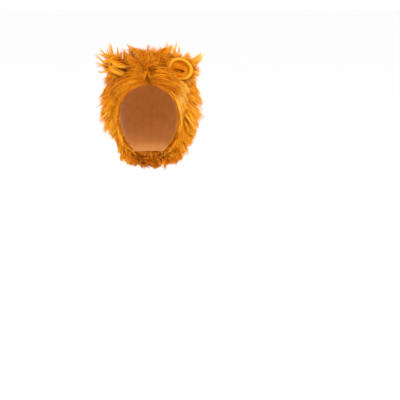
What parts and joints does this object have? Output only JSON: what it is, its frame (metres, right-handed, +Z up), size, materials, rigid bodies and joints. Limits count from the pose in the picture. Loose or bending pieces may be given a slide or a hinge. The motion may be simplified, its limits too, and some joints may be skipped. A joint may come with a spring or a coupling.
{
  "type": "pet mane wig",
  "caption": "Faux-fur lion mane hood for a large dog: two knit-backed panels with long pile, an oval face opening, a neck opening and plush ears.",
  "frame": {"origin": "the highest point inside the hood, where the top of the wearer's head touches it", "axes": "+Z up, the face opening looks along -Y, +X to the wearer's left, which is the viewer's right"},
  "size_m": [0.2447, 0.2403, 0.2979],
  "materials": {
    "backing": "brushed warp knit",
    "mane_pile": "long silky faux-fur pile, lighter at the tips",
    "ear_plush": "short soft plush",
    "closure_tape": "hook-and-loop tape"
  },
  "bodies": {
    "root": {"hood_right": "backing", "hood_left": "backing", "mane_right": "mane_pile", "mane_left": "mane_pile", "ear_right_cup": "ear_plush", "ear_left_cup": "ear_plush", "ear_right_back": "mane_pile", "ear_left_back": "mane_pile", "chin_patch": "closure_tape"}
  },
  "joints": []
}
